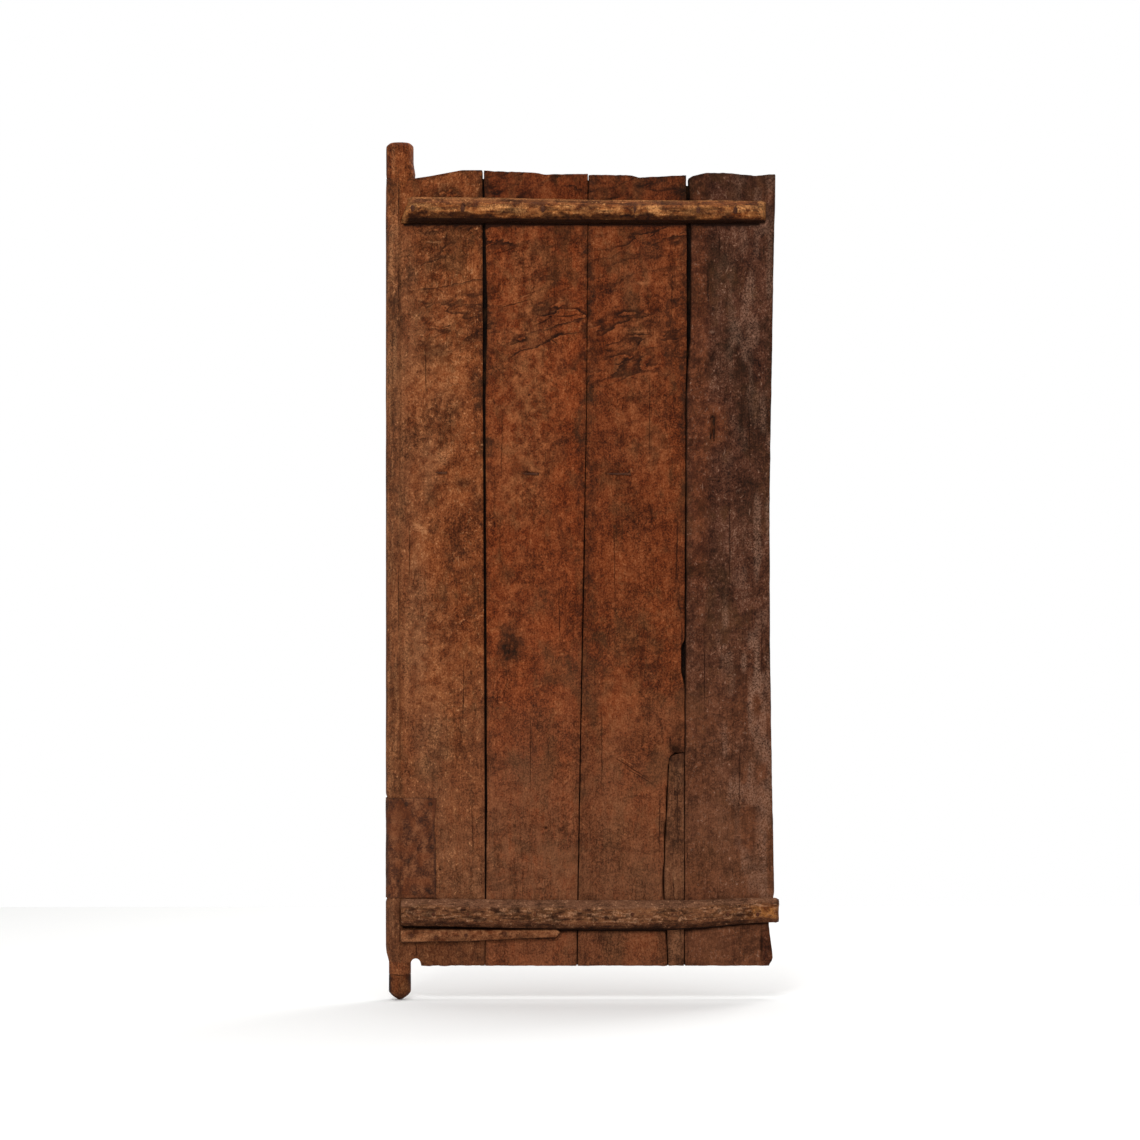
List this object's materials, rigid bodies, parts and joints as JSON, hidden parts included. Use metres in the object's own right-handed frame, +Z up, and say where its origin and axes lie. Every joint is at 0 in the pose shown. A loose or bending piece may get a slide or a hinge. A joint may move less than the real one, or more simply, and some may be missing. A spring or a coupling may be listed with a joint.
{
  "type": "pivot-hung plank door leaf",
  "caption": "Old hewn plank door leaf with pintles cut on its hanging plank, half-round ledges, a patched edge and a pull ring.",
  "frame": {"origin": "on the pivot line, where the lower pintle's round wall meets its cone", "axes": "+Z up along the pivot line toward the upper pintle, +X from the pivot line to the leading edge, -Y out of the inner, ledged face, +Y out of the outer face with the rail and ring"},
  "size_m": [0.7869, 0.1016, 1.717],
  "materials": {
    "hewn_planks": "old hewn hardwood, orange brown, dusty toward the foot",
    "dark_plank": "old hewn hardwood, dark purplish brown",
    "filler_wood": "dusty brown hewn wood",
    "tongue_wood": "dark unworn wood",
    "worn_pole": "pole worn smooth, light tan over dark weathering",
    "dusty_pole": "dusty chipped pole",
    "rail_wood": "weathered brown wood",
    "patch_iron": "sheet iron, rusted all over",
    "nail_iron": "hand-forged, dark rust",
    "forged_iron": "hand-forged, brown-black, worn where it rubs"
  },
  "bodies": {
    "leaf": {"hanging_plank": "hewn_planks", "second_plank": "hewn_planks", "third_plank": "hewn_planks", "leading_plank": "dark_plank", "filler_strip": "filler_wood", "hanging_tongue": "tongue_wood", "middle_tongue": "tongue_wood", "leading_tongue": "tongue_wood", "top_ledge": "worn_pole", "bottom_ledge": "dusty_pole", "tapered_lath": "worn_pole", "outer_rail": "rail_wood", "edge_patch": "patch_iron", "top_ledge_nails": "nail_iron", "bottom_ledge_nails": "nail_iron", "lath_nails": "nail_iron", "rail_nails": "nail_iron", "patch_tacks": "nail_iron", "latch_cotter": "forged_iron", "ring_rose": "forged_iron"},
    "ring": {"pull_ring": "forged_iron"}
  },
  "joints": [
    {"name": "ring_swing", "type": "hinge", "parent": "leaf", "child": "ring", "pos_m": [0.627, 0.0368, 1.146], "axis": [1, 0, 0], "range_deg": [0, 170]}
  ]
}
